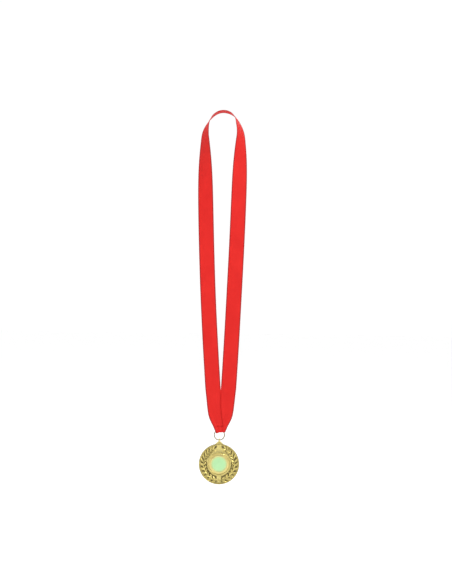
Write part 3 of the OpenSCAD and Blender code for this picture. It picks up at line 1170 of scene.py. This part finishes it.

# %% [markdown]
# ## Gilding
# Cheap gilding is a thin pale gold over zinc. It is bright where hands and polish reach it. Painted shade
# makes the low ground of the wreath dark olive between the leaves, makes the wreath's band a touch darker,
# and darkens the rim's outer side. The painted shade keeps clear of the wide field under the eye and the
# narrow one over the foot, and painted light makes the inner side of the upper half a little brighter and
# its painted shade weaker. Masks by height and place do this.

# %% Gilded casting
gilding, tree, shader = new_finish("gilded_casting")
place = from_object(tree, (0.0, 0.0, MEDAL_Z * MM))
parts = tree.nodes.new("ShaderNodeSeparateXYZ")
tree.links.new(place, parts.inputs[0])
rings = use_group(tree, turned, place, Pitch=0.00025)
metal = use_group(tree, grain, place, Fine=2600.0)
clouds = use_group(tree, uneven, place, Scale=160.0)["Mask"]
height = calc(tree, "MULTIPLY", parts.outputs["Y"], -1.0)
low = remap(tree, height, (GROUND + 0.05) * MM, (GROUND + 0.42) * MM, 1.0, 0.0)
above_back = remap(tree, height, (GROUND - 0.3) * MM, (GROUND - 0.1) * MM, 0.0, 1.0)
band = calc(tree, "MULTIPLY", remap(tree, rings["Radius"], 14.4 * MM, 15.2 * MM, 0.0, 1.0),
            remap(tree, rings["Radius"], 22.3 * MM, 23.6 * MM, 1.0, 0.35))
upper_field = calc(tree, "MULTIPLY_ADD", parts.outputs["Z"], -0.8, 19.4 * MM)
lower_field = calc(tree, "MULTIPLY_ADD", parts.outputs["Z"], 0.8, 13.0 * MM)
field_half = calc(tree, "MAXIMUM", calc(tree, "MINIMUM", upper_field, lower_field), 2.6 * MM)
beside = calc(tree, "SUBTRACT", calc(tree, "ABSOLUTE", parts.outputs["X"]), field_half)
clear_of_fields = remap(tree, beside, -0.3 * MM, 0.6 * MM, 0.0, 1.0)
# painted light: the inner side of the upper half is made lighter, and its painted shade weaker
upper_half_lit = calc(tree, "MULTIPLY", remap(tree, parts.outputs["Z"], 2.0 * MM, 12.0 * MM, 0.0, 1.0),
                  remap(tree, rings["Radius"], 15.0 * MM, 21.0 * MM, 1.0, 0.0))
wreath_shade_zone = calc(tree, "MULTIPLY", band, calc(tree, "MULTIPLY", above_back, clear_of_fields))
# painted shade: the low ground between the leaves is darkened where shade falls, and made less metallic and
# rougher
hollow_shade = calc(tree, "MULTIPLY", low, wreath_shade_zone)
hollow_shade = calc(tree, "MULTIPLY", hollow_shade, remap(tree, clouds, 0.0, 1.0, 0.7, 1.0))
hollow_shade = calc(tree, "MULTIPLY", hollow_shade, calc(tree, "MULTIPLY_ADD", upper_half_lit, -0.25, 1.0))
gold = tint(tree, metal["Rubbed"], (0.62, 0.515, 0.18), (0.72, 0.61, 0.23))
# painted shade: the wreath's band is a touch darker, for its tilted leaves
gold = tint(tree, wreath_shade_zone, gold, (0.66, 0.55, 0.19))
# painted light on the inner side of the upper half
gold = tint(tree, calc(tree, "MULTIPLY", upper_half_lit, 0.6), gold, (0.84, 0.72, 0.28))
gold = tint(tree, hollow_shade, gold, (0.050, 0.036, 0.006))
# painted shade on the rim's outer side
rim_side_shade = calc(tree, "MULTIPLY", remap(tree, rings["Radius"], 24.2 * MM, 24.7 * MM, 0.0, 0.75),
                remap(tree, rings["Radius"], 25.05 * MM, 25.2 * MM, 1.0, 0.0))
gold = tint(tree, rim_side_shade, gold, (0.24, 0.20, 0.10))
tree.links.new(gold, shader.inputs["Base Color"])
tree.links.new(remap(tree, hollow_shade, 0.0, 1.0, 0.95, 0.45), shader.inputs["Metallic"])
rubbed_rough = remap(tree, metal["Rubbed"], 0.0, 1.0, 0.34, 0.22)
rough = calc(tree, "MULTIPLY_ADD", hollow_shade, 0.3, rubbed_rough)
tree.links.new(rough, shader.inputs["Roughness"])
bump(tree, shader, metal["Height"], 0.00006, 0.5)
dress(casting, gilding)

# %% Gilded plate
plate_finish, tree, shader = new_finish("gilded_plate")
place = from_object(tree, (0.0, 0.0, MEDAL_Z * MM))
rings = use_group(tree, turned, place, Pitch=0.0002)
metal = use_group(tree, grain, place, Fine=2600.0)
gold = tint(tree, metal["Rubbed"], (0.75, 0.61, 0.22), (0.81, 0.67, 0.26))
near_field = remap(tree, rings["Radius"], (FIELD_R + 0.2) * MM, (FIELD_R + 2.2) * MM, 0.75, 0.0)
gold = tint(tree, near_field, gold, (0.74, 0.72, 0.32))
tree.links.new(gold, shader.inputs["Base Color"])
shader.inputs["Metallic"].default_value = 0.95
tree.links.new(remap(tree, metal["Rubbed"], 0.0, 1.0, 0.36, 0.26), shader.inputs["Roughness"])
bump(tree, shader, calc(tree, "MULTIPLY_ADD", rings["Height"], 0.15, metal["Height"]), 0.00003, 0.5)
dress(plate, plate_finish)

# %% Ring wire
wire_finish, tree, shader = new_finish("pale_gilt_wire")
place = from_object(tree, (0.0, 0.0, RING_Z * MM))
metal = use_group(tree, grain, place, Fine=3400.0)
wire_gold = tint(tree, metal["Rubbed"], (0.19, 0.14, 0.045), (0.27, 0.20, 0.065))
tree.links.new(wire_gold, shader.inputs["Base Color"])
shader.inputs["Metallic"].default_value = 1.0
tree.links.new(remap(tree, metal["Rubbed"], 0.0, 1.0, 0.36, 0.24), shader.inputs["Roughness"])
bump(tree, shader, metal["Height"], 0.00002, 0.5)
dress(jump_ring, wire_finish)

# %% [markdown]
# ## Enamel and adhesive
# The blank field is a satin mint enamel, a touch yellower at its thin edge, where the gilded well
# shows through. The adhesive pad is white foam, and is hidden.

# %% Mint enamel
mint_finish, tree, shader = new_finish("mint_enamel")
place = from_object(tree, (0.0, 0.0, MEDAL_Z * MM))
rings = use_group(tree, turned, place, Pitch=0.0003)
clouds = use_group(tree, uneven, place, Scale=120.0)["Mask"]
thin_edge = remap(tree, rings["Radius"], (FIELD_R - 2.6) * MM, FIELD_R * MM, 0.0, 1.0)
mint = tint(tree, clouds, (0.385, 0.68, 0.33), (0.43, 0.73, 0.37))
mint = tint(tree, calc(tree, "MULTIPLY", thin_edge, 0.7), mint, (0.56, 0.64, 0.24))
tree.links.new(mint, shader.inputs["Base Color"])
tree.links.new(remap(tree, clouds, 0.0, 1.0, 0.36, 0.46), shader.inputs["Roughness"])
shader.inputs["Coat Weight"].default_value = 0.2
bump(tree, shader, clouds, 0.00002, 0.3)
dress(field, mint_finish)

# %% Adhesive foam
foam, tree, shader = new_finish("adhesive_foam")
place = from_object(tree)
cells = use_group(tree, uneven, place, Scale=3000.0)["Mask"]
tree.links.new(tint(tree, cells, (0.72, 0.72, 0.70), (0.84, 0.84, 0.82)), shader.inputs["Base Color"])
shader.inputs["Roughness"].default_value = 0.8
bump(tree, shader, cells, 0.00005, 0.6)
dress(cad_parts["emblem_adhesive"], foam)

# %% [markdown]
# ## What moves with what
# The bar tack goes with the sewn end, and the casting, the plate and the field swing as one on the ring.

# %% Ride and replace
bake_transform(ribbon)
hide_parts("ribbon_neck", "ribbon_strap_left", "ribbon_strap_right", "ribbon_fold")
for piece, body, node, slot in ((bar_tack, "ribbon_end", "seam_stitching", "thread"),
                                (jump_ring, "ring", "jump_ring", "ring"),
                                (casting, "medal", "medal_body", "gold_plate"),
                                (plate, "medal", "emblem_plate", "emblem_metal"),
                                (field, "medal", "emblem_field", "emblem_colour")):
    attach(piece, body)
    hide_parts(node)

# %% Clear the selection
deselect()
